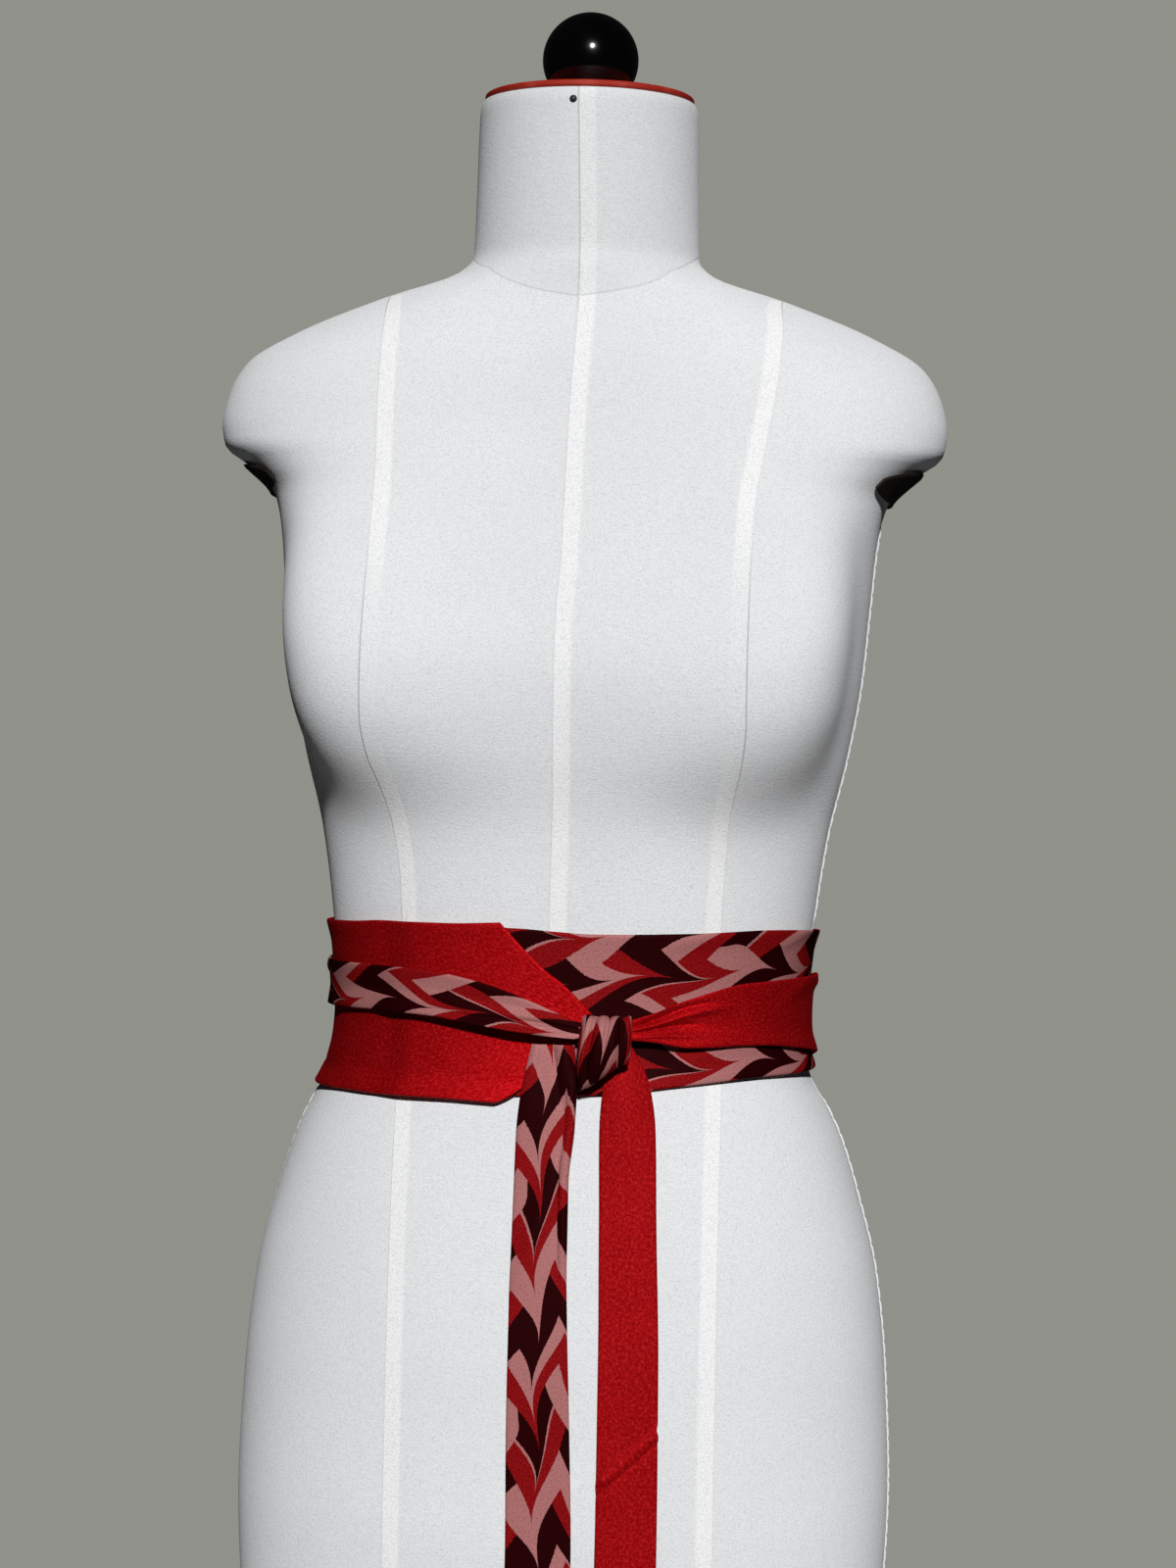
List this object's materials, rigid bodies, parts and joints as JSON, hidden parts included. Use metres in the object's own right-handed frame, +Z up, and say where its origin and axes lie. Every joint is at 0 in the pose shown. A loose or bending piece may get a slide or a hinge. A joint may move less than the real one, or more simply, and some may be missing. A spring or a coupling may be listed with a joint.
{
  "type": "obi sash on dress form",
  "caption": "Two-colour obi sash with panels, ties and small front knot, worn on a limbless dress form on a round-based stand.",
  "frame": {"origin": "middle of the underside of the stand's round base, on the floor", "axes": "+Z up along the pole, -Y out of the form's front where the knot is, +X to the viewer's right"},
  "size_m": [0.37, 0.37, 1.5484],
  "materials": {
    "red_satin": "plain woven, soft sheen",
    "print_satin": "woven leaf repeat in red, pink and near black, soft sheen",
    "calico": "matt off-white cotton cover",
    "red_leather": "smooth",
    "brown_leather": "smooth",
    "black_gloss": "glossy black lacquer",
    "stand_metal": "satin black powder coat"
  },
  "bodies": {
    "root": {"red_panel": "red_satin", "print_panel": "print_satin", "red_tie": "red_satin", "print_tie": "print_satin", "knot_loop": "print_satin", "print_tail": "print_satin", "red_tail": "red_satin", "torso_form": "calico", "armhole_plate_left": "brown_leather", "armhole_plate_right": "brown_leather", "neck_cap": "red_leather", "knob": "black_gloss", "stand_flange": "stand_metal", "stand_pole": "stand_metal", "stand_base": "stand_metal"}
  },
  "joints": []
}
